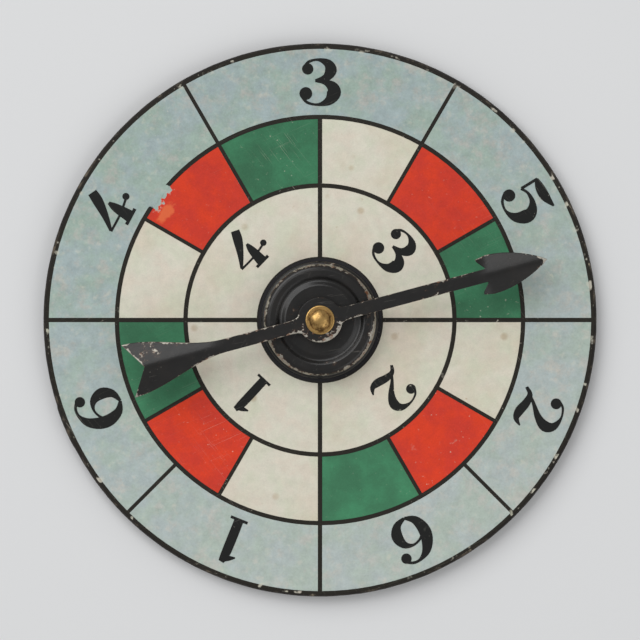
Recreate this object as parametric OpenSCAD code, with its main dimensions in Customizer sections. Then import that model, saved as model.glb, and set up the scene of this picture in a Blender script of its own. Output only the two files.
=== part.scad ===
// Game spinner: a round dial of printed paper on board, and a loose spinner that stands on its middle.
// Units are millimetres. +Z is up, +Y runs from the middle of the dial to the middle of its first sector.
// The origin is the centre of the dial's underside.

/* [Dial] */
// Diameter over the edge binding
dial_d = 84; // [70:1:110]
// Thickness of the greyboard
board_t = 2.4; // [1.6:0.1:4]
// Thickness of the printed face sheet
face_t = 0.16; // [0.1:0.02:0.3]
// Thickness of the lining sheet on the underside
lining_t = 0.2; // [0.1:0.02:0.3]
// Thickness of the binding strip round the edge
binding_t = 0.15; // [0.1:0.01:0.25]
// Width of binding left showing round the face sheet
binding_margin = 0.4; // [0.3:0.05:1]
// How far the binding turns in under the sheets
turn_in = 4; // [2:0.5:8]

/* [Print] */
// Diameter of the black spot that the stand rests on
spot_d = 19.2; // [19:0.2:22]
// Radius of the ring line round the inner numbers, as a share of the dial's radius
inner_line_share = 0.486; // [0.46:0.002:0.52]
// Radius of the ring line round the coloured cells, as a share of the dial's radius
cell_line_share = 0.734; // [0.7:0.002:0.76]
// Width of the two inner ring lines
line_w = 0.66; // [0.3:0.02:0.8]
// Width of the outline round the whole print
outline_w = 0.45; // [0.3:0.05:0.8]
// Width of the lines that quarter the dial
cross_w = 0.66; // [0.3:0.02:0.8]
// Width of the other lines between sectors
divider_w = 0.56; // [0.3:0.02:0.8]
// Height of the outer numbers, as a share of their ring's width
outer_number_share = 0.68; // [0.5:0.01:0.8]
// Height of the inner numbers, as a share of their ring's width
inner_number_share = 0.6; // [0.4:0.01:0.7]
// Thickness of one layer of ink
ink_t = 0.03; // [0.02:0.01:0.05]

/* [Stand] */
// Diameter of the pressed cup's wall
cup_d = 17; // [15:0.5:17.5]
// Height of the pressed cup from its rim to its flat top
cup_h = 3.4; // [3:0.1:6]
// Thickness of the pressed tinplate
tin_t = 0.4; // [0.3:0.05:0.5]
// Thickness of the felt pad
felt_t = 0.8; // [0.6:0.1:1.2]
// Diameter of the pivot pin's shank
pin_d = 1.5; // [1.2:0.1:2]
// Height of the bead that carries the pointer
bead_h = 1.2; // [1:0.1:2]

/* [Pointer] */
// Distance from the pivot to the tip
tip_r = 35.5; // [33:0.5:39]
// Distance from the pivot to the end of the tail, long enough to balance the head
tail_r = 30; // [28:0.5:32]
// Width of the arrowhead
head_w = 6; // [5:0.2:8]
// Width of the tail
tail_w = 8.2; // [6:0.2:9]
// Slope of each half of the creased head and tail, in degrees
crease = 11; // [4:1:15]
// Where the pointer comes to rest, in degrees anticlockwise from +X
rest_angle = 15; // [10:1:20]

/* [Hidden] */
$fn = 96;

// Heights in the dial
board_z = lining_t;
face_z = board_z + board_t;
print_z = face_z + face_t;
dial_top = print_z + ink_t;

// Radii in the dial
dial_r = dial_d / 2;
sheet_r = dial_r - binding_margin;
lining_r = dial_r - turn_in / 2;
turn_r = dial_r - turn_in;
spot_r = spot_d / 2;
inner_line_r = inner_line_share * dial_r;
cell_line_r = cell_line_share * dial_r;
outer_line_r = sheet_r - outline_w / 2;
outer_number_h = outer_number_share * (outer_line_r - cell_line_r);
inner_number_h = inner_number_share * (inner_line_r - spot_r);

// Sectors, as compass bearings: clockwise from +Y
outer_edges = [30, 90, 135, 180, 225, 270, 330];
inner_edges = [0, 90, 180, 270];
cell_count = 12;
cell_angle = 360 / cell_count;
red_cell = 1;
green_cell = 2;
colour_repeat = 3;

// Each number and its bearing. They are set by eye, so some are a degree or two off their sector's middle.
outer_numbers = [[3, 0], [5, 60], [2, 113], [6, 157], [1, 202], [6, 248], [4, 298]];
inner_numbers = [[3, 47], [2, 134], [1, 223], [4, 314]];
inner_number_out = 0.5;
outer_number_r = (cell_line_r + outer_line_r) / 2;
inner_number_r = (spot_r + inner_line_r) / 2 + inner_number_out;
spline_steps = 4;

// Heights in the stand
rim_gap = 0.3;
cup_z = dial_top + rim_gap;
cup_top = cup_z + cup_h;
ballast_z = dial_top + felt_t;
boss_h = 0.3;
boss_top = cup_top + boss_h;
end_play = 0.05;
eyelet_z = boss_top + bead_h + end_play;
flange_t = 0.3;
arm_z = eyelet_z + flange_t;
arm_t = 0.45;
eyelet_h = arm_t + 2 * flange_t;
washer_z = eyelet_z + eyelet_h + end_play;
washer_t = 0.25;
head_z = washer_z + washer_t + end_play;

// Radii in the stand and the pointer
cup_r = cup_d / 2;
corner_r = 1;
curl_r = 0.4;
boss_r = 2.2;
boss_slope = 0.8;
groove_r = 6;
groove_half = 0.8;
groove_depth = 0.3;
slope_steps = 4;
pad_gap = 0.1;
ballast_gap = 0.05;
pad_r = cup_r - tin_t - pad_gap;
ballast_r = cup_r - tin_t - ballast_gap;
ballast_bevel = 0.4;
pin_r = pin_d / 2;
pin_play = 0.07;
bore_r = pin_r + pin_play;
pin_head_r = 1.6;
pin_head_h = 1;
pin_head_rim = 0.2;
pin_point_h = 1.2;
pin_point_gap = 0.1;
bead_r = 1.9;
bead_waist = 0.35;
washer_r = 1.9;
barrel_r = 1.3;
flange_r = 2.2;
hub_r = 3.4;
shaft_w = 2;
head_l = 9;
barb_l = 1.6;
barb_in = 0.3;
tail_l = 15;
tail_notch = 2.6;
tail_steps = 6;
shaft_lap = 2;

// How far a cutting shape runs past what it cuts
cut = 1;

// Points on an arc from angle a0 to a1, in n steps
function arc(c, r, a0, a1, n = 6) = [
    for (i = [0:n]) let (a = a0 + (a1 - a0) * i / n) c + r * [cos(a), sin(a)]
];

function reverse(list) = [for (i = [len(list) - 1:-1:0]) list[i]];

// A smooth step from 0 to 1
function ease(t) = let (u = min(max(t, 0), 1)) u * u * (3 - 2 * u);

// ---- Dial ----

// The rounded rim of the bound board in half section, at a depth d below the binding's surface
function bound_edge(d) = concat(
    arc([sheet_r, board_z + binding_margin], binding_margin - d, -90, 0),
    arc([sheet_r, face_z - binding_margin], binding_margin - d, 0, 90)
);

module dial_board() {
    color("#9a8f7c") rotate_extrude() polygon(concat(
        [[0, board_z], [turn_r, board_z], [turn_r, board_z + binding_t]],
        bound_edge(binding_t),
        [[turn_r, face_z - binding_t], [turn_r, face_z], [0, face_z]]
    ));
}

module edge_binding() {
    color("#26241f") rotate_extrude() polygon(concat(
        [[turn_r, board_z]],
        bound_edge(0),
        [[turn_r, face_z], [turn_r, face_z - binding_t]],
        reverse(bound_edge(binding_t)),
        [[turn_r, board_z + binding_t]]
    ));
}

module lining_sheet() {
    color("#2b2a28") cylinder(r = lining_r, h = lining_t);
}

module face_sheet() {
    color("#d9d5c2") translate([0, 0, face_z]) cylinder(r = sheet_r, h = face_t);
}

// ---- Print ----

module ring(r_in, r_out) {
    difference() {
        circle(r = r_out);
        circle(r = r_in);
    }
}

// The line between two sectors, at a compass bearing, from radius r_in to r_out
module divider(bearing, r_in, r_out) {
    w = bearing % 90 == 0 ? cross_w : divider_w;
    rotate(90 - bearing) translate([r_in, -w / 2]) square([r_out - r_in, w]);
}

// All the black lines and the centre spot, flat
module key_shape() {
    circle(r = spot_r);
    ring(inner_line_r - line_w / 2, inner_line_r + line_w / 2);
    ring(cell_line_r - line_w / 2, cell_line_r + line_w / 2);
    ring(sheet_r - outline_w, sheet_r);
    for (b = inner_edges) divider(b, spot_r - cross_w, inner_line_r);
    for (i = [0:cell_count - 1]) divider(i * cell_angle, inner_line_r, cell_line_r);
    for (b = outer_edges) divider(b, cell_line_r, outer_line_r);
}

// One coloured cell, from its anticlockwise edge
module cell_shape(index) {
    a = 90 - index * cell_angle;
    far = cell_line_r / cos(cell_angle / 2) + cut;
    difference() {
        intersection() {
            ring(inner_line_r + line_w / 2, cell_line_r - line_w / 2);
            polygon([[0, 0], far * [cos(a), sin(a)], far * [cos(a - cell_angle), sin(a - cell_angle)]]);
        }
        divider(index * cell_angle, inner_line_r, cell_line_r);
        divider((index + 1) * cell_angle, inner_line_r, cell_line_r);
    }
}

// The cells of one colour
module cells(first) {
    translate([0, 0, print_z]) linear_extrude(ink_t)
        for (i = [first:colour_repeat:cell_count - 1]) cell_shape(i);
}

module print_tint_ring() {
    color("#a5b1aa") translate([0, 0, print_z]) linear_extrude(ink_t) difference() {
        ring(cell_line_r + line_w / 2, sheet_r - outline_w);
        for (b = outer_edges) divider(b, cell_line_r, sheet_r);
    }
}

module print_red_cells() {
    color("#c84232") cells(red_cell);
}

module print_green_cells() {
    color("#46745a") cells(green_cell);
}

module print_key_lines() {
    color("#2b2b2a") translate([0, 0, print_z]) linear_extrude(ink_t) key_shape();
}

// ---- Numbers ----
// A number is drawn with pen strokes in a box one unit high, centred on the origin. A stroke is a list of
// [x, y, pen width], joined by a smooth curve. A ball is [x, y, diameter].

function strokes(n) =
    n == 1 ? [
        [[0.03, 0.49, 0.12], [0, 0.25, 0.2], [0, -0.47, 0.2]],
        [[0.05, 0.45, 0.1], [-0.09, 0.37, 0.11], [-0.22, 0.31, 0.03]],
        [[-0.19, -0.47, 0.06], [0.19, -0.47, 0.06]]
    ] :
    n == 2 ? [
        [[-0.41, 0.28, 0.05], [-0.3, 0.42, 0.05], [-0.08, 0.475, 0.05], [0.14, 0.4, 0.16], [0.21, 0.23, 0.23],
         [0.09, 0.02, 0.15], [-0.16, -0.2, 0.07], [-0.4, -0.46, 0.05]],
        [[-0.41, -0.45, 0.05], [-0.29, -0.33, 0.11], [-0.1, -0.33, 0.17], [0.12, -0.4, 0.19],
         [0.29, -0.4, 0.12], [0.4, -0.27, 0.03]]
    ] :
    n == 3 ? [
        [[-0.34, 0.3, 0.06], [-0.24, 0.43, 0.06], [-0.04, 0.475, 0.06], [0.16, 0.4, 0.18], [0.23, 0.25, 0.25],
         [0.12, 0.09, 0.16], [-0.1, 0.03, 0.06]],
        [[-0.1, 0.03, 0.06], [0.1, 0, 0.11], [0.26, -0.1, 0.24], [0.29, -0.24, 0.3], [0.18, -0.4, 0.19],
         [-0.04, -0.475, 0.06], [-0.27, -0.43, 0.06], [-0.4, -0.28, 0.06]]
    ] :
    n == 4 ? [
        [[0.12, 0.49, 0.2], [0.01, 0.29, 0.22], [-0.2, 0, 0.14], [-0.41, -0.24, 0.06]],
        [[-0.42, -0.25, 0.05], [0, -0.25, 0.05], [0.4, -0.19, 0.05]],
        [[0.09, 0.08, 0.06], [0.07, -0.1, 0.18], [0.05, -0.47, 0.26]],
        [[-0.14, -0.47, 0.07], [0.24, -0.47, 0.07]]
    ] :
    n == 5 ? [
        [[-0.3, 0.43, 0.07], [-0.12, 0.4, 0.19], [0.12, 0.4, 0.2], [0.38, 0.46, 0.04]],
        [[-0.29, 0.44, 0.06], [-0.28, 0.05, 0.06]],
        [[-0.28, 0.04, 0.06], [-0.13, 0.12, 0.06], [0.08, 0.11, 0.12], [0.25, -0.01, 0.24],
         [0.28, -0.17, 0.29], [0.18, -0.37, 0.19], [-0.02, -0.475, 0.06], [-0.24, -0.44, 0.06],
         [-0.38, -0.29, 0.06]]
    ] : [
        [[0.37, 0.36, 0.06], [0.2, 0.465, 0.06], [0.02, 0.46, 0.07], [-0.17, 0.33, 0.18], [-0.28, 0.1, 0.25],
         [-0.29, -0.13, 0.25], [-0.19, -0.36, 0.17], [0, -0.475, 0.06]],
        [[0, -0.475, 0.06], [0.2, -0.38, 0.16], [0.29, -0.17, 0.24], [0.22, 0.04, 0.16], [0.05, 0.12, 0.06],
         [-0.12, 0.07, 0.05], [-0.23, -0.04, 0.05]]
    ];

function balls(n) =
    n == 2 ? [[-0.32, 0.26, 0.23]] :
    n == 3 ? [[-0.26, 0.28, 0.24], [-0.3, -0.24, 0.27]] :
    n == 4 ? [[0.38, -0.18, 0.15]] :
    n == 5 ? [[-0.28, -0.25, 0.26]] :
    n == 6 ? [[0.29, 0.33, 0.22]] : [];

// Catmull-Rom curve through the keys, at share t of the way from key i to key i + 1
function spline(k, i, t) = let (
    p = [for (j = [-1:2]) k[min(max(i + j, 0), len(k) - 1)]]
) (2 * p[1] + (p[2] - p[0]) * t + (2 * p[0] - 5 * p[1] + 4 * p[2] - p[3]) * t * t
    + (3 * p[1] - 3 * p[2] + p[3] - p[0]) * t * t * t) / 2;

function pen_path(keys) = len(keys) == 2 ? keys : concat(
    [for (i = [0:len(keys) - 2]) for (s = [0:spline_steps - 1]) spline(keys, i, s / spline_steps)],
    [keys[len(keys) - 1]]
);

// One edge of a stroke, half the pen's width to one side of its path
function pen_edge(path, side) = [for (i = [0:len(path) - 1]) let (
    a = path[max(i - 1, 0)],
    b = path[min(i + 1, len(path) - 1)],
    along = [b.x - a.x, b.y - a.y] / norm([b.x - a.x, b.y - a.y])
) [path[i].x, path[i].y] + side * path[i].z / 2 * [-along.y, along.x]];

module numeral(n) {
    for (keys = strokes(n)) {
        path = pen_path(keys);
        polygon(concat(pen_edge(path, 1), reverse(pen_edge(path, -1))));
    }
    for (b = balls(n)) translate([b.x, b.y]) circle(d = b.z);
}

// A number standing on the dial, its top away from the middle
module placed_numeral(n, bearing, r, h) {
    rotate(-bearing) translate([0, r]) scale(h) numeral(n);
}

module print_numerals() {
    color("#1f1f1c") {
        translate([0, 0, print_z + ink_t]) linear_extrude(ink_t)
            for (n = outer_numbers) placed_numeral(n[0], n[1], outer_number_r, outer_number_h);
        translate([0, 0, print_z]) linear_extrude(ink_t)
            for (n = inner_numbers) placed_numeral(n[0], n[1], inner_number_r, inner_number_h);
    }
}

// ---- Stand ----

module foot_pad() {
    color("#2f423a") translate([0, 0, dial_top]) cylinder(r = pad_r, h = felt_t);
}

module ballast() {
    ballast_h = cup_top - groove_depth - tin_t - ballast_z;
    color("#6d6f72") translate([0, 0, ballast_z]) rotate_extrude() polygon([
        [pin_r, 0], [ballast_r, 0], [ballast_r, ballast_h - ballast_bevel],
        [ballast_r - ballast_bevel, ballast_h], [pin_r, ballast_h]
    ]);
}

// Height of the pressed cup's upper surface at radius r: a raised boss, and a sunk groove round it
function cup_surface(r) = cup_top + boss_h * (1 - ease((r - boss_r) / boss_slope))
    - groove_depth * ease(1 - abs(r - groove_r) / groove_half);

module stand_cup() {
    radii = concat(
        [pin_r],
        [for (i = [0:slope_steps]) boss_r + boss_slope * i / slope_steps],
        [for (i = [-slope_steps:slope_steps]) groove_r + groove_half * i / slope_steps]
    );
    top_skin = [for (r = radii) [r, cup_surface(r)]];
    under_skin = [for (r = radii) [r, cup_surface(r) - tin_t]];
    inner_r = cup_r - tin_t;
    color("#242424") rotate_extrude() polygon(concat(
        top_skin,
        arc([cup_r - corner_r, cup_top - corner_r], corner_r, 90, 0),
        arc([cup_r, cup_z + curl_r], curl_r, 90, -90, 8),
        [[inner_r, cup_z]],
        arc([cup_r - corner_r, cup_top - corner_r], corner_r - tin_t, 0, 90),
        reverse(under_skin)
    ));
}

module pivot_pin() {
    point_z = ballast_z + pin_point_gap;
    dome_h = pin_head_h - pin_head_rim;
    color("#b08d4a") rotate_extrude() polygon(concat(
        [[0, point_z], [pin_r, point_z + pin_point_h], [pin_r, head_z], [pin_head_r, head_z]],
        [for (a = [0:11.25:90]) [pin_head_r * cos(a), head_z + pin_head_rim + dome_h * sin(a)]]
    ));
}

module spacer_bead() {
    color("#b08d4a") translate([0, 0, boss_top]) rotate_extrude() polygon(concat(
        [[bore_r, 0]],
        [for (a = [-90:22.5:90]) [bead_r - bead_waist * (1 - cos(a)), bead_h / 2 * (1 + a / 90)]],
        [[bore_r, bead_h]]
    ));
}

module top_washer() {
    color("#b08d4a") translate([0, 0, washer_z]) difference() {
        cylinder(r = washer_r, h = washer_t);
        translate([0, 0, -cut]) cylinder(r = bore_r, h = washer_t + 2 * cut);
    }
}

// ---- Pointer ----

// Half of the head's outline along +X, from the tip back past the barb
function head_side() = [
    [tip_r, 0],
    for (a = [15:15:90]) [tip_r - head_l * a / 90, head_w / 2 * pow(sin(a), 0.85)],
    [tip_r - head_l - barb_l, head_w / 2 - barb_in],
    [tip_r - head_l, 0]
];

// Half of the tail's outline, from the shaft back to the notch
function tail_side() = [
    for (i = [0:tail_steps]) let (t = i / tail_steps)
        [-tail_r + tail_l * (1 - t), (shaft_w + (tail_w - shaft_w) * ease(t)) / 2],
    [-tail_r + tail_notch, 0],
    [-tail_r + tail_l, 0]
];

// A creased sheet: two halves of an outline, each sloping down from a ridge along the X axis
module creased(side) {
    for (m = [0, 1]) mirror([0, m, 0]) intersection() {
        translate([0, 0, -tail_w]) linear_extrude(tail_w + arm_t) polygon(side);
        translate([0, 0, arm_t]) rotate([-crease, 0, 0])
            translate([-tail_r - cut, 0, -arm_t]) cube([tail_r + tip_r + 2 * cut, tail_w, arm_t]);
    }
}

module pointer_arm() {
    shaft_x = -tail_r + tail_l - shaft_lap;
    shaft_l = tip_r - head_l + shaft_lap - shaft_x;
    color("#2a2927") translate([0, 0, arm_z]) rotate(rest_angle) difference() {
        union() {
            creased(head_side());
            creased(tail_side());
            translate([shaft_x, -shaft_w / 2, 0]) cube([shaft_l, shaft_w, arm_t]);
            cylinder(r = hub_r, h = arm_t);
        }
        translate([0, 0, -cut]) cylinder(r = barrel_r, h = arm_t + 2 * cut);
    }
}

module pointer_eyelet() {
    roll = flange_t / 2;
    color("#b08d4a") translate([0, 0, eyelet_z]) rotate_extrude() polygon(concat(
        [[bore_r, 0]],
        arc([flange_r - roll, roll], roll, -90, 90),
        [[barrel_r, flange_t], [barrel_r, eyelet_h - flange_t]],
        arc([flange_r - roll, eyelet_h - roll], roll, -90, 90),
        [[bore_r, eyelet_h]]
    ));
}

// ---- Nodes ----

dial_board();
edge_binding();
lining_sheet();
face_sheet();
print_tint_ring();
print_red_cells();
print_green_cells();
print_key_lines();
print_numerals();
foot_pad();
ballast();
stand_cup();
pivot_pin();
spacer_bead();
top_washer();
pointer_arm();
pointer_eyelet();
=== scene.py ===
"""The looks of a game spinner: a bound, printed dial and a loose tin spinner that stands on its middle.

Lengths are in metres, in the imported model's frame. Inside a material they are in millimetres.
"""

import math

import bmesh
import bpy
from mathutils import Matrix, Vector, geometry, noise


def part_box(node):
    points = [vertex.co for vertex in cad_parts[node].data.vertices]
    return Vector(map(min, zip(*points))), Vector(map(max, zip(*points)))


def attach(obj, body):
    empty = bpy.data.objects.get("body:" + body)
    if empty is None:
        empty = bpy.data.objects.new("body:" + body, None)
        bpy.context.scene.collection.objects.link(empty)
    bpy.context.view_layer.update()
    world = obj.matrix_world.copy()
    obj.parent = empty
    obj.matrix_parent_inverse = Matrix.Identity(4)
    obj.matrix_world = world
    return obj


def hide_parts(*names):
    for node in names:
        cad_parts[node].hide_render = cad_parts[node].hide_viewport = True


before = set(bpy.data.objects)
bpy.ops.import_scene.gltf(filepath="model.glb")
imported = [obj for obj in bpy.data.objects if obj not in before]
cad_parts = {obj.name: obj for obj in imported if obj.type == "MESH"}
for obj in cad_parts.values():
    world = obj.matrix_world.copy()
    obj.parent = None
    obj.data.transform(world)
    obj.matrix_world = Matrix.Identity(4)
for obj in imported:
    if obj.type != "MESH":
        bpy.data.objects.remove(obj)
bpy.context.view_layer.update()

MM = 0.001
TURN = 2 * math.pi

# ---- Sizes, from the frame ----

dial_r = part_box("edge_binding")[1].x
board_low, board_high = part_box("dial_board")
sheet_low, sheet_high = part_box("face_sheet")
sheet_r = sheet_high.x
lining_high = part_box("lining_sheet")[1]
ink_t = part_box("print_key_lines")[1].z - sheet_high.z
pad_low, pad_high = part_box("foot_pad")
cup_low, cup_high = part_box("stand_cup")
arm_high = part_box("pointer_arm")[1]

# The print's two ring lines, as shares of the dial's radius
INNER_LINE = 0.486
CELL_LINE = 0.734

# Radii in millimetres: the dial, its face sheet, the two ring lines and the spot
DIAL_MM = dial_r / MM
SHEET_MM = sheet_r / MM
CELL_MM = CELL_LINE * DIAL_MM
INNER_MM = INNER_LINE * DIAL_MM
SPOT_MM = 9.6

# The coloured cells: half a cell's angle, and the bearing of the first cell of each colour, in degrees
CELL_HALF = 15.0
RED_AT = 45.0
GREEN_AT = 75.0

# The scuff: on the outer ring line, left of the middle of the upper left red cell
SCUFF_AT = math.radians(RED_AT - 90 - CELL_HALF / 2)
SCUFF_HALF_L, SCUFF_HALF_W = 2.2, 1.1

# The arrow's plan, in millimetres along and across it
REST_ANGLE = math.radians(15)
TIP, TAIL = 35.5, 30.0
HEAD_W, HEAD_L, BARB_L = 6.0, 9.0, 1.6
TAIL_W, TAIL_L, NOTCH = 8.2, 15.0, 2.6
SHAFT_W, HUB_R, BARREL_R = 2.0, 3.4, 1.3
ARM_T = 0.45

# The ridge pressed along the head and the tail: its slope, and how round its top is
CREASE = math.radians(11)
CREASE_R = 0.18

# The arrow's mesh: its pitch inside and along the border, its hole's sides, and what angle is a sharp edge
GRID = 0.4
BORDER_STEP = 0.45
HOLE_SIDES = 48
SHARP = math.radians(50)


def srgb(*display):
    """A linear colour from three display values of 0 to 255."""
    shares = (value / 255 for value in display)
    return tuple(s / 12.92 if s <= 0.04 else ((s + 0.055) / 1.055) ** 2.4 for s in shares) + (1.0,)


def ease(t):
    """A smooth step from 0 to 1."""
    t = min(max(t, 0.0), 1.0)
    return t * t * (3 - 2 * t)


def rough(x, y, z=0.0):
    """Smooth noise between about -1 and 1."""
    return noise.noise(Vector((x, y, z)))


# ---- Node materials ----


def feed(tree, slot, value):
    """Gives a node's input a fixed value, or a link if the value comes from a node."""
    if isinstance(value, Num):
        value = value.socket
    if isinstance(value, bpy.types.NodeSocket):
        tree.links.new(value, slot)
    else:
        slot.default_value = value


class Num:
    """A number in a shader. Arithmetic on it adds Math nodes."""

    def __init__(self, tree, socket):
        self.tree = tree
        self.socket = socket

    def calc(self, operation, *inputs):
        """Adds one Math node."""
        node = self.tree.nodes.new("ShaderNodeMath")
        node.operation = operation
        for slot, value in zip(node.inputs, inputs):
            feed(self.tree, slot, value)
        return Num(self.tree, node.outputs[0])

    def __add__(self, other):
        return self.calc("ADD", self, other)

    def __sub__(self, other):
        return self.calc("SUBTRACT", self, other)

    def __rsub__(self, other):
        return self.calc("SUBTRACT", other, self)

    def __mul__(self, other):
        return self.calc("MULTIPLY", self, other)

    def __truediv__(self, other):
        return self.calc("DIVIDE", self, other)

    __radd__ = __add__
    __rmul__ = __mul__

    def abs(self):
        return self.calc("ABSOLUTE", self)

    def sin(self):
        return self.calc("SINE", self)

    def least(self, other):
        return self.calc("MINIMUM", self, other)

    def most(self, other):
        return self.calc("MAXIMUM", self, other)

    def wrap(self, period):
        return self.calc("FLOORED_MODULO", self, period)

    def rise(self, low, high):
        """0 below low, 1 above high, smooth between. With high under low it falls instead."""
        node = self.tree.nodes.new("ShaderNodeMapRange")
        node.interpolation_type = "SMOOTHSTEP"
        node.inputs["From Min"].default_value = min(low, high)
        node.inputs["From Max"].default_value = max(low, high)
        node.inputs["To Min"].default_value = 0.0 if low < high else 1.0
        node.inputs["To Max"].default_value = 1.0 if low < high else 0.0
        self.tree.links.new(self.socket, node.inputs["Value"])
        return Num(self.tree, node.outputs["Result"])


class Paint:
    """Builds one node material. Positions are in millimetres in the model's frame."""

    def __init__(self, name):
        self.material = bpy.data.materials.new(name)
        self.material.use_nodes = True
        self.tree = self.material.node_tree
        self.shader = self.tree.nodes["Principled BSDF"]
        place = self.tree.nodes.new("ShaderNodeTexCoord")
        self.at = self.vector("SCALE", place.outputs["Object"], Scale=1 / MM)
        split = self.tree.nodes.new("ShaderNodeSeparateXYZ")
        feed(self.tree, split.inputs[0], self.at)
        self.x, self.y, self.z = (Num(self.tree, s) for s in split.outputs)
        self.r = self.distance(self.x, self.y)

    def vector(self, operation, first, second=(0.0, 0.0, 0.0), **values):
        """A position worked out from one or two others."""
        node = self.tree.nodes.new("ShaderNodeVectorMath")
        node.operation = operation
        feed(self.tree, node.inputs[0], first)
        feed(self.tree, node.inputs[1], second)
        for key, value in values.items():
            feed(self.tree, node.inputs[key], value)
        return node.outputs[0]

    def distance(self, x, y):
        """How far a point is from the middle, or the length of a step."""
        return x.calc("SQRT", x * x + y * y)

    def bearing(self, x, y):
        """Degrees clockwise from +Y, from -180 to 180."""
        return x.calc("ARCTAN2", x, y) * (360 / TURN)

    def place(self, x, y, z):
        """A position made of three numbers."""
        node = self.tree.nodes.new("ShaderNodeCombineXYZ")
        for slot, value in zip(node.inputs, (x, y, z)):
            feed(self.tree, slot, value)
        return node.outputs[0]

    def noise(self, size, detail=2.0, roughness=0.5, at=None, shift=0.0):
        """Cloudy noise with features of about size millimetres, around 0.5."""
        node = self.tree.nodes.new("ShaderNodeTexNoise")
        place = self.vector("ADD", self.at if at is None else at, (shift, shift * 1.7, shift * 0.6))
        feed(self.tree, node.inputs["Vector"], place)
        node.inputs["Scale"].default_value = 1 / size
        node.inputs["Detail"].default_value = detail
        node.inputs["Roughness"].default_value = roughness
        return Num(self.tree, node.outputs[0])

    def sway(self, amount, *args, **options):
        """The same noise around 0, with a full swing of amount."""
        return (self.noise(*args, **options) - 0.5) * amount

    def spots(self, size):
        """Distance from the nearest of a scatter of points, in units of size."""
        node = self.tree.nodes.new("ShaderNodeTexVoronoi")
        feed(self.tree, node.inputs["Vector"], self.at)
        node.inputs["Scale"].default_value = 1 / size
        return Num(self.tree, node.outputs["Distance"])

    def strands(self, degrees, length, width, shift=0.0):
        """Noise drawn out into slightly bent strands, all at about one angle from +X."""
        angle = math.radians(degrees)
        bend = self.sway(width * 5, length * 1.5, 1.0, shift=shift + 1.0)
        along = self.x * math.cos(angle) + self.y * math.sin(angle)
        across = self.y * math.cos(angle) - self.x * math.sin(angle) + bend
        drawn = self.place(along / length, across / width, self.z / width)
        return self.noise(1.0, 2.0, 0.4, at=drawn, shift=shift)

    def scratches(self, degrees, length, width, shift):
        """1 on clusters of fine scratches."""
        cluster = self.noise(length * 2.5, 3.0, shift=shift + 2.0).rise(0.48, 0.6)
        return self.strands(degrees, length, width, shift).rise(0.68, 0.73) * cluster

    def attribute(self, name):
        """A number stored on the mesh."""
        node = self.tree.nodes.new("ShaderNodeAttribute")
        node.attribute_name = name
        return Num(self.tree, node.outputs["Fac"])

    def mix(self, share, first, second):
        """A colour that goes from first to second."""
        node = self.tree.nodes.new("ShaderNodeMix")
        node.data_type = "RGBA"
        for index, value in ((0, share), (6, first), (7, second)):
            feed(self.tree, node.inputs[index], value)
        return node.outputs[2]

    def shade(self, colour, amount):
        """A colour made lighter or darker: amount is a number around 1."""
        node = self.tree.nodes.new("ShaderNodeHueSaturation")
        feed(self.tree, node.inputs["Value"], amount)
        feed(self.tree, node.inputs["Color"], colour)
        return node.outputs[0]

    def set(self, **values):
        """Sets the shader's inputs by name, with _ for a space."""
        for key, value in values.items():
            feed(self.tree, self.shader.inputs[key.replace("_", " ")], value)
        return self

    def bump(self, height, depth):
        """Raises the surface by height times depth millimetres."""
        node = self.tree.nodes.new("ShaderNodeBump")
        node.inputs["Distance"].default_value = depth * MM
        feed(self.tree, node.inputs["Height"], height)
        feed(self.tree, self.shader.inputs["Normal"], node.outputs[0])
        return self


# ---- The print ----

PAPER = srgb(218, 214, 198)
PAPER_AGED = srgb(208, 200, 178)
PAPER_GREENISH = srgb(206, 211, 188)
PAPER_PINKISH = srgb(219, 205, 190)
FOXING = srgb(170, 145, 108)
TINT_GREEN = srgb(160, 180, 169)
TINT_BLUE = srgb(165, 181, 182)
TINT_PINKISH = srgb(183, 183, 176)
RED_WARM = srgb(221, 62, 31)
RED_DEEP = srgb(205, 57, 40)
RED_WORN = srgb(232, 112, 66)
GREEN_LIGHT = srgb(64, 131, 94)
GREEN_DEEP = srgb(57, 111, 80)
LINE_BLACK = srgb(36, 33, 27)
SPOT_BLACK = srgb(40, 39, 42)
SPOT_RUBBED = srgb(120, 116, 108)
NUMBER_BLACK = srgb(24, 25, 24)


def cell_depth(paint, x, y, centre):
    """How far a point lies inside the nearest of four cells, a quarter turn apart, one of them at centre."""
    r = paint.distance(x, y)
    aside = ((paint.bearing(x, y) - (centre - 45)).wrap(90.0) - 45.0).abs()
    across = (CELL_HALF - aside) * r * (TURN / 360)
    return across.least(r - INNER_MM).least(CELL_MM - r)


def scuff_frame(paint):
    """Distances clockwise and outward from the middle of the scuff."""
    sin, cos = math.sin(SCUFF_AT), math.cos(SCUFF_AT)
    x = paint.x - CELL_MM * sin
    y = paint.y - CELL_MM * cos
    return x * cos - y * sin, x * sin + y * cos


def red_scuff(paint):
    """1 in the ragged patch where the ring line and the corner of the red cell have been torn off."""
    along, outward = scuff_frame(paint)
    ragged = paint.sway(2.6, 0.9, 3.0)
    inside = (SCUFF_HALF_L - along.abs() + ragged).least(SCUFF_HALF_W - outward.abs() + ragged)
    return inside.rise(0.0, 0.25)


def red_rub(paint):
    """1 in the pale orange streak beside the torn patch."""
    along, outward = scuff_frame(paint)
    ragged = paint.sway(1.4, 0.8, 3.0, shift=26.0)
    return (paint.distance((along + 1.3) * 0.5, outward + 2.4) + ragged).rise(1.1, 0.5)


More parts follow.
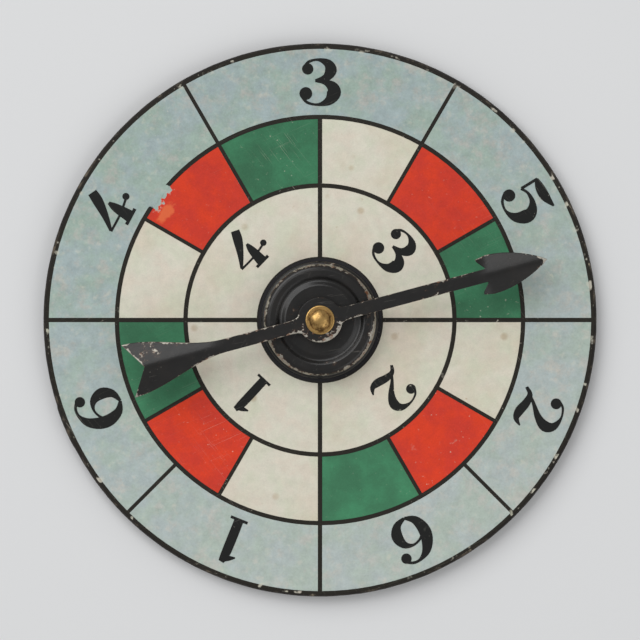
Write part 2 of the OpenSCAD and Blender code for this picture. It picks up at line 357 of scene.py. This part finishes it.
def wear(paint):
    """How worn the print is: specks, rubbed patches, hairline scratches and a rubbed rim, from 0 to 1."""
    patch = paint.noise(16.0, 3.0, shift=40.0).rise(0.5, 0.72)
    specks = paint.noise(0.55, 3.0, 0.6, shift=9.0).rise(0.66, 0.74) * (patch * 0.85 + 0.15)
    rubs = paint.noise(2.6, 4.0, 0.65, shift=21.0).rise(0.64, 0.72) * patch
    rim = paint.r.rise(SHEET_MM - 1.4, SHEET_MM) * paint.noise(1.6, 3.0, shift=5.0).rise(0.6, 0.7)
    hairlines = paint.scratches(24, 9.0, 0.07, 23.0).most(paint.scratches(-52, 7.0, 0.06, 27.0))
    return specks.most(rubs * 0.7).most(rim).most(hairlines * (patch * 0.4 + 0.12))


def paper_colour(paint):
    """Aged printing paper with cloudy yellowing and small brown spots."""
    aged = paint.mix(paint.noise(9.0, 4.0, 0.6).rise(0.4, 0.75) * 0.8, PAPER, PAPER_AGED)
    hue = paint.noise(3.6, 3.0, 0.55, shift=33.0)
    aged = paint.mix(hue.rise(0.48, 0.68) * 0.5, aged, PAPER_GREENISH)
    aged = paint.mix(hue.rise(0.52, 0.32) * 0.5, aged, PAPER_PINKISH)
    spots = paint.spots(5.0).rise(0.16, 0.05) * paint.noise(12.0, shift=15.0).rise(0.45, 0.6)
    fox = (spots * 0.5).most(paint.noise(1.6, 4.0, 0.6, shift=30.0).rise(0.66, 0.8) * 0.55)
    fibre = paint.sway(0.24, 0.18, 3.0, 0.6) + paint.sway(0.26, 1.2, 4.0, 0.65) + 1.01
    return paint.shade(paint.mix(fox, aged, FOXING), fibre)


def tint_colour(paint):
    """The outer ring's tint: patchy and fine-grained, and faded towards the lower right of the dial."""
    tint = paint.mix(paint.noise(5.0, 4.0, 0.6, shift=60.0).rise(0.36, 0.64), TINT_GREEN, TINT_BLUE)
    tint = paint.mix(paint.noise(2.4, 4.0, 0.65, shift=70.0).rise(0.48, 0.72) * 0.85, tint, TINT_PINKISH)
    faded = (paint.x * 0.4 - paint.y).rise(-35.0, 45.0)
    tint = paint.mix(faded * 0.35, tint, TINT_PINKISH)
    grain = paint.sway(0.3, 0.3, 2.0, 0.7, shift=80.0)
    cloud = paint.sway(0.5, 1.4, 4.0, 0.65, shift=83.0)
    return paint.shade(tint, grain + cloud + paint.x * 0.0004 - paint.y * 0.0024 + 1.03)


def cell_ink(paint, deep, light, size, shift, fade):
    """An ink that lies unevenly, in clouds of two shades. It pales by fade a millimetre towards -Y."""
    cloud = paint.noise(size, 4.0, 0.6, shift=shift).rise(0.34, 0.66)
    mottle = paint.sway(0.3, 0.27, 2.0, 0.7, shift=shift) + paint.sway(0.3, 1.5, 4.0, 0.65, shift=shift + 9.0)
    return paint.shade(paint.mix(cloud, deep, light), mottle - paint.y * fade + 1.0)


def printed_paper():
    """The face sheet: paper, then the tint, the green and the red, each a little out of register."""
    paint = Paint("printed_paper")
    x = paint.x + paint.sway(0.16, 0.35, 2.0, shift=3.0)
    y = paint.y + paint.sway(0.16, 0.35, 2.0, shift=7.0)
    scuff = red_scuff(paint)
    worn = wear(paint)

    r = paint.distance(x, y)
    tinted = r.rise(CELL_MM - 0.1, CELL_MM) * r.rise(SHEET_MM - 0.1, SHEET_MM - 0.2)
    thin = (paint.noise(1.1, 3.0, shift=81.0).rise(0.55, 0.8) * 0.35).most(worn * 0.75)
    colour = paint.mix(tinted.most(scuff) * (1.0 - thin), paper_colour(paint), tint_colour(paint))

    kept = 1.0 - worn * 0.8
    in_green = cell_depth(paint, x - 0.16, y + 0.06, GREEN_AT).rise(-0.06, 0.06)
    colour = paint.mix(in_green * kept, colour, cell_ink(paint, GREEN_DEEP, GREEN_LIGHT, 7.0, 75.0, 0.005))
    in_red = cell_depth(paint, x + 0.24, y + 0.1, RED_AT).rise(-0.06, 0.06)
    red = paint.mix(red_rub(paint) * 0.8, cell_ink(paint, RED_DEEP, RED_WARM, 3.5, 45.0, 0.0012), RED_WORN)
    colour = paint.mix(in_red * kept * (1.0 - scuff), colour, red)

    paint.set(Base_Color=colour, Roughness=0.74 - tinted * 0.1 + worn * 0.1, Specular_IOR_Level=0.3)
    return paint.bump(paint.noise(0.3, 4.0, 0.6) + paint.noise(3.0, 2.0) * 1.5, 0.012).material


def black_ink(name, lines):
    """The black ink: a colour for the lines, and a spot with faint rings rubbed in by the stand's foot."""
    paint = Paint(name)
    worn = wear(paint)
    in_spot = paint.r.rise(SPOT_MM, SPOT_MM - 0.4)
    colour = paint.mix(in_spot, lines, SPOT_BLACK)
    colour = paint.shade(colour, paint.sway(0.3, 0.3, 2.0, 0.7) + paint.sway(0.3, 3.0) + 1.0)
    colour = paint.mix(worn * 0.75, colour, paper_colour(paint))
    colour = paint.mix(red_scuff(paint), colour, tint_colour(paint))
    turned = paint.bearing(paint.x, paint.y) * 0.02
    streaks = paint.noise(0.18, 3.0, at=paint.place(paint.r, turned, paint.z)).rise(0.5, 0.75)
    rubbed = paint.r.rise(SPOT_MM - 0.4, SPOT_MM - 1.0) * streaks
    colour = paint.mix(rubbed * 0.16, colour, SPOT_RUBBED)
    paint.set(Base_Color=colour, Roughness=0.55 - rubbed * 0.1 + worn * 0.2, Specular_IOR_Level=0.2)
    return paint.bump(paint.noise(0.3, 4.0, 0.6), 0.008).material


# ---- Other materials ----

CLOTH_BLACK = srgb(38, 35, 32)
CLOTH_DUSTY = srgb(60, 55, 49)
CLOTH_THREAD = srgb(118, 107, 92)
CLOTH_NICK = srgb(170, 158, 136)
LINING_BLACK = srgb(48, 45, 42)
LINING_FADED = srgb(66, 61, 56)
LINING_SCUFFED = srgb(134, 119, 100)
PULP_GREY = srgb(150, 141, 122)
PULP_PALE = srgb(188, 178, 156)
FELT_DEEP = srgb(22, 38, 30)
FELT_FIBRE = srgb(74, 98, 80)
FELT_DUSTY = srgb(104, 104, 90)
LACQUER_BLACK = srgb(17, 16, 15)
LACQUER_THIN = srgb(30, 26, 23)
LACQUER_BROWN = srgb(70, 46, 30)
LACQUER_SCRATCHED = srgb(110, 104, 96)
TIN_BARE = srgb(176, 172, 162)
TIN_RUSTY = srgb(112, 72, 44)
BRASS_BRIGHT = srgb(190, 154, 96)
BRASS_DULL = srgb(112, 84, 50)
BRASS_PITTED = srgb(64, 48, 30)
IRON_GREY = srgb(92, 92, 94)
IRON_RUSTY = srgb(110, 78, 56)
FLOOR_PALE = srgb(226, 227, 228)


def binding_cloth():
    """Black book cloth, its threads showing grey where the edge has been rubbed."""
    paint = Paint("binding_cloth")
    thread = 0.26
    round_edge = paint.bearing(paint.x, paint.y) * (TURN / 360 * DIAL_MM)
    warp = (round_edge * (TURN / thread)).sin()
    weft = ((paint.z + paint.r) * (TURN / thread)).sin()
    weave = (warp * weft + 1.0) * 0.5
    middle = (board_low.z + board_high.z) / 2 / MM
    half = (board_high.z - board_low.z) / 2 / MM
    near_face = (paint.z - middle).abs().rise(half - 0.55, half - 0.05)
    near_edge = near_face * paint.r.rise(DIAL_MM - 1.2, DIAL_MM - 0.3)
    patches = paint.noise(3.2, 4.0, 0.6, shift=2.0)
    rubbed = near_edge * patches.rise(0.54, 0.7)
    nicks = near_edge * paint.noise(0.9, 3.0, 0.6, shift=6.0).rise(0.6, 0.66) * patches.rise(0.6, 0.66)
    dusty = paint.noise(7.0, 4.0, shift=50.0).rise(0.35, 0.8)
    colour = paint.mix(dusty * 0.5, CLOTH_BLACK, CLOTH_DUSTY)
    # Painted shade: the weave's low spots are made darker and its high spots lighter, following the bump
    colour = paint.shade(colour, weave * 0.35 + 0.8)
    colour = paint.mix(rubbed * (weave * 0.6 + 0.3), colour, CLOTH_THREAD)
    colour = paint.mix(nicks, colour, CLOTH_NICK)
    paint.set(Base_Color=colour, Roughness=0.86 - weave * 0.12, Specular_IOR_Level=0.25, Sheen_Weight=0.1)
    return paint.bump(weave + nicks * -1.5 + paint.noise(0.5, 3.0) * 0.5, 0.03).material


def lining_paper():
    """Black pebbled paper, scuffed brown on its high spots and edge."""
    paint = Paint("lining_paper")
    pebble = paint.spots(0.55)
    fine = paint.noise(0.2, 3.0)
    scuffs = paint.noise(10.0, 6.0, 0.7, shift=11.0).rise(0.56, 0.74)
    rim = paint.r.rise(DIAL_MM - 4.0, DIAL_MM - 2.2) * paint.noise(1.8, 4.0, shift=13.0).rise(0.48, 0.66)
    scratches = paint.scratches(14, 6.0, 0.2, 17.0).most(paint.scratches(-58, 8.0, 0.2, 19.0))
    worn = (scuffs * 0.6).most(rim * 0.8).most(scratches * 0.6)
    colour = paint.mix(paint.noise(12.0, 4.0).rise(0.35, 0.7), LINING_BLACK, LINING_FADED)
    colour = paint.mix(worn * pebble.rise(0.75, 0.35), colour, LINING_SCUFFED)
    paint.set(Base_Color=colour, Roughness=0.62 + worn * 0.25, Specular_IOR_Level=0.35)
    return paint.bump(pebble.rise(0.1, 0.8) * -1.0 + fine * 0.3, 0.05).material


def greyboard():
    """Raw pulpboard, flecked with fibres."""
    paint = Paint("greyboard")
    fleck = paint.noise(0.4, 5.0, 0.7)
    colour = paint.mix(fleck.rise(0.35, 0.7), PULP_GREY, PULP_PALE)
    paint.set(Base_Color=colour, Roughness=0.95)
    return paint.bump(fleck, 0.05).material


def felt():
    """Dense green felt: short fibres that lie every way, matted and dusty where it rubs."""
    paint = Paint("felt")
    fibre = paint.noise(0.14, 4.0, 0.7)
    for degrees in (12, 74, 131):
        fibre = fibre.most(paint.strands(degrees, 0.8, 0.07, degrees))
    matted = paint.noise(2.2, 4.0, shift=4.0)
    colour = paint.mix(fibre.rise(0.45, 0.72), FELT_DEEP, FELT_FIBRE)
    colour = paint.mix(matted.rise(0.48, 0.7) * 0.4, colour, FELT_DUSTY)
    paint.set(Base_Color=colour, Roughness=0.98, Specular_IOR_Level=0.1)
    paint.set(Sheen_Weight=0.4, Sheen_Roughness=0.5)
    return paint.bump(fibre * 1.5 + matted * 0.5, 0.16).material


def japanned_tin(name, edge):
    """Glossy black lacquer on tinplate. edge is a function of the paint: 1 at the edges that rub."""
    paint = Paint(name)
    thin = paint.noise(3.0, 3.0, shift=33.0)
    chips = paint.sway(1.8, 0.7, 4.0, 0.62, shift=31.0)
    stretches = paint.sway(2.2, 4.5, 2.0, shift=35.0)
    worn = edge(paint) * 0.62 + chips + stretches
    bare = worn.rise(0.52, 0.6)
    brown = worn.rise(0.34, 0.56)
    specks = paint.noise(0.35, 3.0, 0.6, shift=37.0).rise(0.72, 0.76) * thin.rise(0.45, 0.6)
    bare = bare.most(specks * 0.8)
    scratches = paint.scratches(10, 3.0, 0.1, 41.0).most(paint.scratches(65, 2.2, 0.08, 43.0))
    lacquer = paint.mix(thin.rise(0.4, 0.75) * 0.6, LACQUER_BLACK, LACQUER_THIN)
    colour = paint.mix(brown * 0.7, lacquer, LACQUER_BROWN)
    colour = paint.mix(scratches * 0.35, colour, LACQUER_SCRATCHED)
    rust = paint.noise(1.1, 4.0, 0.6, shift=47.0).rise(0.52, 0.66)
    metal = paint.mix(rust, TIN_BARE, TIN_RUSTY)
    colour = paint.mix(bare, colour, metal)
    smear = paint.noise(2.4, 4.0, 0.6, shift=53.0)
    gloss = 0.2 + smear * 0.22 + bare * 0.2 + scratches * 0.15
    paint.set(Base_Color=colour, Metallic=bare * (1.0 - rust), Roughness=gloss, Specular_IOR_Level=0.4)
    paint.set(Coat_Weight=0.12 * (1.0 - bare), Coat_Roughness=0.15)
    return paint.bump(paint.noise(0.5, 3.0, 0.55) * 0.6 - bare * 1.2 - scratches * 0.4, 0.02).material


def brass(name, bright):
    """Turned and tarnished brass. bright is a function of the paint: 1 where rubbing keeps it bright."""
    paint = Paint(name)
    tarnish = paint.noise(1.0, 4.0, 0.65, shift=3.0).rise(0.35, 0.65)
    dull = tarnish * (1.0 - bright(paint) * 0.8)
    colour = paint.mix(dull, BRASS_BRIGHT, BRASS_DULL)
    pits = paint.noise(0.25, 3.0, shift=8.0).rise(0.66, 0.74)
    colour = paint.mix(pits * 0.6, colour, BRASS_PITTED)
    turned = (paint.r * 40.0 + paint.noise(0.6) * 4.0).sin() * 0.5 + 0.5
    paint.set(Base_Color=colour, Metallic=1.0, Roughness=0.3 + dull * 0.3 + pits * 0.2)
    return paint.bump(turned * 0.35 - pits + paint.noise(0.4, 2.0) * 0.8, 0.006).material


def iron():
    """A cast surface, grey with rusty patches."""
    paint = Paint("cast_iron_slug")
    grain = paint.noise(0.25, 4.0, 0.7)
    colour = paint.mix(paint.noise(2.0, 4.0).rise(0.45, 0.7), IRON_GREY, IRON_RUSTY)
    paint.set(Base_Color=colour, Metallic=0.8, Roughness=0.6 + grain * 0.2)
    return paint.bump(grain, 0.05).material


# ---- Meshes ----

TINY = 1e-7


def add_piece(mesh, material, body, replaces):
    """Puts a mesh in the scene, riding on a body and standing for one or more CAD nodes."""
    obj = bpy.data.objects.new(mesh.name, mesh)
    bpy.context.scene.collection.objects.link(obj)
    mesh.materials.append(material)
    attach(obj, body)
    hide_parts(*replaces)
    return obj


def smooth_shade(mesh, angle):
    """Smooth shading, with edges over an angle kept sharp."""
    shape = bmesh.new()
    shape.from_mesh(mesh)
    bmesh.ops.recalc_face_normals(shape, faces=shape.faces)
    for face in shape.faces:
        face.smooth = True
    for edge in shape.edges:
        edge.smooth = len(edge.link_faces) == 2 and edge.calc_face_angle(0.0) < angle
    shape.to_mesh(mesh)
    shape.free()


def revolve(name, profile, segments, move):
    """A closed profile of (radius, height) points swept round the Z axis. Points on the axis are shared.

    move(angle, index, radius, height) returns where a point off the axis goes: (radius, height)."""
    verts, faces, rings = [], [], []
    for index, (radius, height) in enumerate(profile):
        if radius < TINY:
            verts.append((0.0, 0.0, height))
            rings.append([len(verts) - 1] * segments)
            continue
        first = len(verts)
        for s in range(segments):
            angle = TURN * s / segments
            r, z = move(angle, index, radius, height)
            verts.append((r * math.cos(angle), r * math.sin(angle), z))
        rings.append(list(range(first, len(verts))))
    for ring, after in zip(rings, rings[1:] + rings[:1]):
        for s in range(segments):
            t = (s + 1) % segments
            face = list(dict.fromkeys([ring[s], ring[t], after[t], after[s]]))
            if len(face) > 2:
                faces.append(face)
    mesh = bpy.data.meshes.new(name)
    mesh.from_pydata(verts, [], faces)
    mesh.validate()
    smooth_shade(mesh, math.radians(35))
    return mesh


def spread(low, high, count):
    """Evenly spaced values from low to high."""
    return [low + (high - low) * i / (count - 1) for i in range(count)]


# ---- Dial ----

# Where the sheet's edge has come unstuck: angle from +X and half width, in radians
LIFTS = ((2.55, 0.16), (4.9, 0.1), (0.35, 0.12))

# The binding strip's thickness, its turn-in on each face, and its join's angle from +X and lap, in radians
BINDING_T = 0.15 * MM
TURN_IN = 4 * MM
JOIN_AT = 3.6
LAP = 0.14


def edge_lift(angle):
    """How far the sheet's edge has come unstuck, from 0 to 1."""
    return max(ease(1 - abs(math.remainder(angle - a, TURN)) / half) for a, half in LIFTS)


def build_sheet():
    """The printed sheet: stuck flat, its tint standing up by its ink, and its edge lifting in places."""
    ring = CELL_LINE * dial_r
    edge = sheet_r - 0.03 * MM
    tint_z = sheet_high.z + ink_t * 0.8
    profile = [(r, sheet_high.z) for r in spread(0.0, ring, 30)]
    profile += [(r, tint_z) for r in spread(ring + 0.02 * MM, sheet_r - 0.25 * MM, 16)]
    profile += [(sheet_r - 0.2 * MM, sheet_high.z), (edge, sheet_high.z - 0.02 * MM)]
    profile += [(r, sheet_low.z) for r in (edge, sheet_r - 1.5 * MM, sheet_r / 2, 0.0)]

    def move(angle, index, r, z):
        if r < edge:
            return r, z
        ragged = rough(60 * math.cos(angle), 60 * math.sin(angle)) * 0.03 * MM
        return r - 0.02 * MM + ragged, z + edge_lift(angle) * 0.02 * MM

    mesh = revolve("printed_sheet", profile, 288, move)
    shown = ("face_sheet", "print_tint_ring", "print_red_cells", "print_green_cells")
    add_piece(mesh, printed_paper(), body="dial", replaces=shown)


def binding_profile(depth):
    """The strip's path round the board's edge, from the lower turn-in to the upper one.

    depth is how far it runs below the strip's surface."""
    bend = dial_r - sheet_r
    low, high = board_low.z, board_high.z
    turn_r = dial_r - TURN_IN

    def corner(centre_z, start):
        angles = spread(start, start + math.pi / 2, 6)
        reach = bend - depth
        return [(sheet_r + reach * math.cos(a), centre_z + reach * math.sin(a)) for a in angles]

    points = [(r, low + depth) for r in spread(turn_r, sheet_r, 14)[:-1]]
    points += corner(low + bend, -math.pi / 2)
    points += [(dial_r - depth, z) for z in spread(low + bend, high - bend, 9)[1:-1]]
    points += corner(high - bend, 0.0)
    points += [(r, high - depth) for r in spread(turn_r, sheet_r, 4)[-2::-1]]
    return points


def build_binding():
    """A cloth strip turned over the edge: pleated underneath, lapped at its join, a little uneven."""
    skin = binding_profile(0.0)
    profile = skin + binding_profile(BINDING_T)[::-1]
    middle = (board_low.z + board_high.z) / 2

    def move(angle, index, r, z):
        if index >= len(skin):
            return r, z
        x, y = math.cos(angle), math.sin(angle)
        uneven = rough(22 * x, 22 * y, z / MM) * 0.03 * MM
        past_join = math.remainder(angle - JOIN_AT, TURN)
        uneven += 0.1 * MM * ease((past_join + LAP) / 0.008) * ease(1 - past_join / 0.03)
        if r < sheet_r and z < middle:
            pleat = abs(rough(34 * x, 34 * y, 2.0)) * ease((sheet_r - r) / (1.2 * MM))
            return r, z - min(uneven, 0.05 * MM) - pleat * 0.16 * MM
        if r < sheet_r - 0.1 * MM:
            return r, z
        return r + uneven, z

    mesh = revolve("cloth_binding", profile, 480, move)
    add_piece(mesh, binding_cloth(), body="dial", replaces=("edge_binding",))


def build_lining():
    """The back's lining: a thin sheet with a softly pressed, slightly ragged edge."""
    r_out, top = lining_high.x, lining_high.z
    edge_from = r_out - 2 * MM
    under = [(r, 0.0) for r in spread(0.0, r_out - 0.4 * MM, 40)]
    under += [(r_out - 0.15 * MM, 0.02 * MM), (r_out, 0.1 * MM)]

    def move(angle, index, r, z):
        x, y = math.cos(angle) * r / MM, math.sin(angle) * r / MM
        if z < top and r > edge_from:
            ragged = rough(x * 0.8, y * 0.8) * 0.12 * MM
            return r - abs(ragged) * ease((r - edge_from) / (r_out - edge_from)), z
        wavy = abs(rough(x * 0.12, y * 0.12)) * 0.015 * MM
        return r, z + (wavy if z == 0.0 else 0.0)

    mesh = revolve("lining_paper", under + [(r_out, top), (0.0, top)], 256, move)
    add_piece(mesh, lining_paper(), body="dial", replaces=("lining_sheet",))


# ---- Stand ----


def build_felt_pad():
    """The felt foot: soft-edged, a little furry and squeezed out under the cup's rim."""
    r_out, low, high = pad_high.x, pad_low.z, pad_high.z
    bend = 0.22 * MM
    profile = [(r, low) for r in spread(0.0, r_out - bend, 24)]
    for a in spread(0.2, 1.5, 5):
        profile.append((r_out - bend + bend * math.sin(a), low + bend - bend * math.cos(a)))
    profile += [(r_out, high), (0.0, high)]

    def move(angle, index, r, z):
        if z >= high:
            return r, z
        x, y = math.cos(angle) * r / MM, math.sin(angle) * r / MM
        fur = rough(x * 3, y * 3, z / MM * 3) * 0.05 * MM
        return r + (fur if r > r_out - bend * 1.1 else 0.0), z + (abs(fur) if r < r_out - bend else 0.0)

    mesh = revolve("felt_foot", profile, 160, move)
    add_piece(mesh, felt(), body="stand", replaces=("foot_pad",))


# ---- Pointer ----


def arrow_outline():
    """The arrow's plan in millimetres, tip towards +X, anticlockwise."""
    # One side of the head, and its barb
    side = [(TIP - HEAD_L * t, HEAD_W / 2 * math.sin(math.pi / 2 * t) ** 0.85) for t in spread(0, 1, 11)[1:]]
    head_end = TIP - HEAD_L
    side += [(head_end - BARB_L, HEAD_W / 2 - 0.3), (head_end - BARB_L + 0.15, HEAD_W / 2 - 0.75)]
    side += [(head_end - 0.45, SHAFT_W / 2 + 0.1), (head_end - 0.7, SHAFT_W / 2)]
    # The shaft, with the round boss in it
    hub_in = math.sqrt(HUB_R**2 - (SHAFT_W / 2 + 0.15) ** 2)
    start = math.atan2(SHAFT_W / 2 + 0.35, hub_in)
    side += [(hub_in + 1.5, SHAFT_W / 2), (hub_in + 0.5, SHAFT_W / 2 + 0.08)]
    side += [(HUB_R * math.cos(a), HUB_R * math.sin(a)) for a in spread(start, math.pi - start, 20)]
    side += [(-hub_in - 0.5, SHAFT_W / 2 + 0.08), (-hub_in - 1.5, SHAFT_W / 2)]
    # The tail, flaring to its notched end
    flare = (TAIL_W - SHAFT_W) / 2
    side += [(-TAIL + TAIL_L * (1 - t), SHAFT_W / 2 + flare * ease(t)) for t in spread(0, 1, 13)]
    side += [(-TAIL + 0.25, TAIL_W / 2 - 0.35)]
    return [(TIP, 0.0)] + side + [(-TAIL + NOTCH, 0.0)] + [(x, -y) for x, y in side[::-1]]


def crease_drop(x, y):
    """How far the pressed arrow's top falls below its ridge, in millimetres."""
    head = ease((x - (TIP - HEAD_L - 3)) / 3)
    tail = ease((-TAIL + TAIL_L + 1 - x) / 4)
    return math.tan(CREASE) * max(head, tail) * (math.hypot(y, CREASE_R) - CREASE_R)


def arrow_plan(outline):
    """The arrow's plan cut into small triangles, with the eyelet's hole left open: points and triangles."""
    border = []
    for a, b in zip(outline, outline[1:] + outline[:1]):
        steps = max(1, int((b - a).length / BORDER_STEP))
        border += [a.lerp(b, i / steps) for i in range(steps)]
    hole = []
    for i in range(HOLE_SIDES):
        angle = TURN * i / HOLE_SIDES
        hole.append(Vector((BARREL_R * math.cos(angle), BARREL_R * math.sin(angle))))
    inner = []
    rows = math.ceil(TAIL_W / 2 / GRID)
    for i in range(math.floor(-TAIL / GRID), math.ceil(TIP / GRID)):
        for j in range(-rows, rows + 1):
            p = Vector((i * GRID, j * GRID))
            if in_loop(p, border) and p.length > BARREL_R + 0.15 and to_edge(p, outline) > 0.18:
                inner.append(p)
    edges = loop_edges(0, len(border)) + loop_edges(len(border), len(hole))
    points, _, triangles, *_ = geometry.delaunay_2d_cdt(border + hole + inner, edges, [], 0, 1e-6)
    return points, [t for t in triangles if keep_triangle(points, t, border)]


def build_arrow():
    """The stamped arrow: a flat boss and shaft, with a ridge pressed along its head and its tail."""
    outline = [Vector(p) for p in arrow_outline()]
    plan, triangles = arrow_plan(outline)
    cos, sin = math.cos(REST_ANGLE), math.sin(REST_ANGLE)
    shape = bmesh.new()
    wear_layer = shape.verts.layers.float.new("edge_wear")
    layers = []
    for level in (0.0, ARM_T):
        verts = []
        for p in plan:
            z = arm_high.z - (crease_drop(p.x, p.y) + level) * MM
            vert = shape.verts.new(((p.x * cos - p.y * sin) * MM, (p.x * sin + p.y * cos) * MM, z))
            vert[wear_layer] = math.exp(-to_edge(p, outline) / 0.3)
            verts.append(vert)
        layers.append(verts)
    upper, lower = layers
    for a, b, c in triangles:
        shape.faces.new((upper[a], upper[b], upper[c]))
        shape.faces.new((lower[c], lower[b], lower[a]))
    shape.verts.index_update()
    for edge in [e for e in shape.edges if e.is_boundary and e.verts[0].index < len(plan)]:
        a, b = (v.index for v in edge.verts)
        shape.faces.new((upper[a], upper[b], lower[b], lower[a]))
    bmesh.ops.delete(shape, geom=[v for v in shape.verts if not v.link_faces], context="VERTS")
    mesh = bpy.data.meshes.new("tin_arrow")
    shape.to_mesh(mesh)
    shape.free()
    smooth_shade(mesh, SHARP)
    lacquer = japanned_tin("arrow_lacquer", lambda paint: paint.attribute("edge_wear"))
    arrow = add_piece(mesh, lacquer, body="pointer", replaces=("pointer_arm",))
    soften = arrow.modifiers.new("sheared_edge", "BEVEL")
    soften.width = 0.09 * MM
    soften.segments = 2
    soften.limit_method = "ANGLE"
    soften.angle_limit = SHARP


def loop_edges(first, count):
    """The sides of a closed loop of points, as pairs of their numbers."""
    return [(first + i, first + (i + 1) % count) for i in range(count)]


def to_edge(p, loop):
    """How far a point is from the nearest side of a closed loop."""
    nearest = []
    for a, b in zip(loop, loop[1:] + loop[:1]):
        share = min(max((p - a).dot(b - a) / (b - a).length_squared, 0.0), 1.0)
        nearest.append((p - a.lerp(b, share)).length)
    return min(nearest)


def in_loop(p, loop):
    """True if a point is inside a closed loop, by counting crossings."""
    inside = False
    for a, b in zip(loop, loop[1:] + loop[:1]):
        if (a.y > p.y) != (b.y > p.y) and p.x < a.x + (b.x - a.x) * (p.y - a.y) / (b.y - a.y):
            inside = not inside
    return inside


def keep_triangle(points, triangle, border):
    """True if a triangle is tin: inside the border and outside the eyelet's hole."""
    middle = sum((points[i] for i in triangle), Vector((0.0, 0.0))) / 3
    return middle.length > BARREL_R * 0.999 and in_loop(middle, border)


# ---- CAD nodes that stay ----


def repaint(node, material):
    """Gives a CAD node a material. Its shape and place stay."""
    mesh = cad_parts[node].data
    mesh.materials.clear()
    mesh.materials.append(material)


def cup_edge(paint):
    """1 at the cup's top corner and at its rim, and nearly so round its hole."""
    out = paint.r - (cup_high.x / MM - 0.35)
    up = paint.z - (cup_high.z / MM - 0.75)
    top = paint.distance(out, up).rise(0.9, 0.2)
    rim = paint.z.rise(cup_low.z / MM + 0.5, cup_low.z / MM + 0.1)
    hole = paint.r.rise(2.1, 1.2)
    return top.most(rim).most(hole * 0.8)


def nowhere(paint):
    """0 all over a piece."""
    return paint.r * 0.0


def paint_cad_nodes():
    """Materials for the CAD nodes that are seen as they are."""
    repaint("stand_cup", japanned_tin("cup_lacquer", cup_edge))
    repaint("pivot_pin", brass("pin_brass", lambda paint: paint.r.rise(1.2, 0.2)))
    repaint("spacer_bead", brass("bead_brass", nowhere))
    repaint("top_washer", brass("washer_brass", nowhere))
    repaint("pointer_eyelet", brass("eyelet_brass", lambda paint: paint.r.rise(1.5, 2.1)))
    repaint("ballast", iron())
    repaint("dial_board", greyboard())
    repaint("print_key_lines", black_ink("key_ink", LINE_BLACK))
    repaint("print_numerals", black_ink("number_ink", NUMBER_BLACK))


# ---- Stage ----

FLOOR_HALF = 20.0
FLOOR_Z = -0.02 * MM
CAMERA_HEIGHT = 0.9
CAMERA_MARGIN = 1.16


def build_floor():
    """A pale floor, wide enough to have no edge in view."""
    mesh = bpy.data.meshes.new("floor")
    corners = [(x * FLOOR_HALF, y * FLOOR_HALF, 0) for x, y in ((-1, -1), (1, -1), (1, 1), (-1, 1))]
    mesh.from_pydata(corners, [], [(0, 1, 2, 3)])
    floor = bpy.data.objects.new("floor", mesh)
    floor.location.z = FLOOR_Z
    bpy.context.scene.collection.objects.link(floor)
    paint = Paint("floor_paint")
    paint.set(Base_Color=FLOOR_PALE, Roughness=0.9, Specular_IOR_Level=0.1)

    # Seen from below, the floor isn't there, and light reaches an underside that lies on it
    tree = paint.tree
    from_below = Num(tree, tree.nodes.new("ShaderNodeNewGeometry").outputs["Backfacing"])
    path = Num(tree, tree.nodes.new("ShaderNodeLightPath").outputs["Ray Length"])
    clear = tree.nodes.new("ShaderNodeBsdfTransparent")
    either = tree.nodes.new("ShaderNodeMixShader")
    feed(tree, either.inputs[0], from_below.most(path.calc("LESS_THAN", path, MM)))
    feed(tree, either.inputs[1], paint.shader.outputs[0])
    feed(tree, either.inputs[2], clear.outputs[0])
    feed(tree, tree.nodes["Material Output"].inputs["Surface"], either.outputs[0])
    mesh.materials.append(paint.material)


def add_light(name, place, size, watts):
    """A large soft light that faces the middle of the dial."""
    light = bpy.data.lights.new(name, "AREA")
    light.size = size
    light.energy = watts
    obj = bpy.data.objects.new(name, light)
    obj.location = place
    obj.rotation_euler = (-Vector(place)).to_track_quat("-Z", "Y").to_euler()
    bpy.context.scene.collection.objects.link(obj)


def build_stage():
    """The floor, a plain white sky and two lights."""
    build_floor()
    world = bpy.data.worlds.new("studio")
    bpy.context.scene.world = world
    world.use_nodes = True
    sky = world.node_tree.nodes["Background"].inputs
    sky["Color"].default_value = (1.0, 1.0, 1.0, 1.0)
    sky["Strength"].default_value = 0.42
    add_light("key", (-0.45, 0.5, 0.8), 0.9, 6.4)
    add_light("fill", (0.6, -0.4, 0.7), 0.8, 2.0)
    bpy.context.scene.view_settings.view_transform = "Standard"
    bpy.context.scene.view_settings.look = "None"


def build_camera():
    """A camera that looks straight down on the whole dial, with a margin round it."""
    camera = bpy.data.cameras.new("camera")
    view_width = 2 * dial_r * CAMERA_MARGIN
    camera.lens = camera.sensor_width * CAMERA_HEIGHT / view_width
    obj = bpy.data.objects.new("camera", camera)
    obj.location = (0.0, 0.0, CAMERA_HEIGHT)
    bpy.context.scene.collection.objects.link(obj)
    bpy.context.scene.camera = obj


build_sheet()
build_binding()
build_lining()
build_felt_pad()
build_arrow()
paint_cad_nodes()
build_stage()
build_camera()
